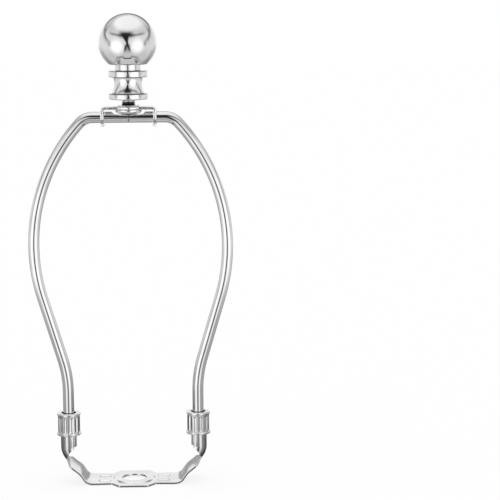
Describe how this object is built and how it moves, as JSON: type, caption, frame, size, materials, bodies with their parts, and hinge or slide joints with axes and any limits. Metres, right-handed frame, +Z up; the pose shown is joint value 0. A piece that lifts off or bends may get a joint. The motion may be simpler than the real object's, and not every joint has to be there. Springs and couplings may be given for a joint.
{
  "type": "lamp harp",
  "caption": "Detachable lamp harp: bent wire bow in a stamped saddle, locked by two sliding ferrules, with a swivel stud and a turned ball finial on top.",
  "frame": {"origin": "middle of the saddle's underside, below the nipple hole", "axes": "+Z up along the stud and finial, +X across the bow from leg to leg, +Y to the back, front is -Y"},
  "size_m": [0.0918, 0.0258, 0.2121],
  "materials": {
    "polished_wire": "polished plated steel wire",
    "drawn_ferrule": "polished plated drawn steel",
    "pressed_sheet": "bright plated pressed steel",
    "threaded_stud": "plated threaded steel",
    "turned_finial": "mirror plated turned metal"
  },
  "bodies": {
    "saddle": {"saddle": "pressed_sheet"},
    "bow": {"harp_wire": "polished_wire", "swivel_clip": "pressed_sheet"},
    "left_lock": {"left_ferrule": "drawn_ferrule"},
    "right_lock": {"right_ferrule": "drawn_ferrule"},
    "swivel": {"stud": "threaded_stud"},
    "finial": {"finial_base": "turned_finial", "finial_ball": "turned_finial"}
  },
  "joints": [
    {"name": "harp_lift", "type": "slide", "parent": "saddle", "child": "bow", "axis": [0, 0, 1], "range_m": [0, 0.02]},
    {"name": "left_lock_slide", "type": "slide", "parent": "bow", "child": "left_lock", "axis": [0, 0, 1], "range_m": [0, 0.012]},
    {"name": "right_lock_slide", "type": "slide", "parent": "bow", "child": "right_lock", "axis": [0, 0, 1], "range_m": [0, 0.012]},
    {"name": "stud_swivel", "type": "hinge", "parent": "bow", "child": "swivel", "pos_m": [0, 0, 0.17], "axis": [0, 0, 1], "continuous": true},
    {"name": "finial_travel", "type": "slide", "parent": "swivel", "child": "finial", "axis": [0, 0, 1], "range_m": [-0.0024, 0.0085]}
  ]
}
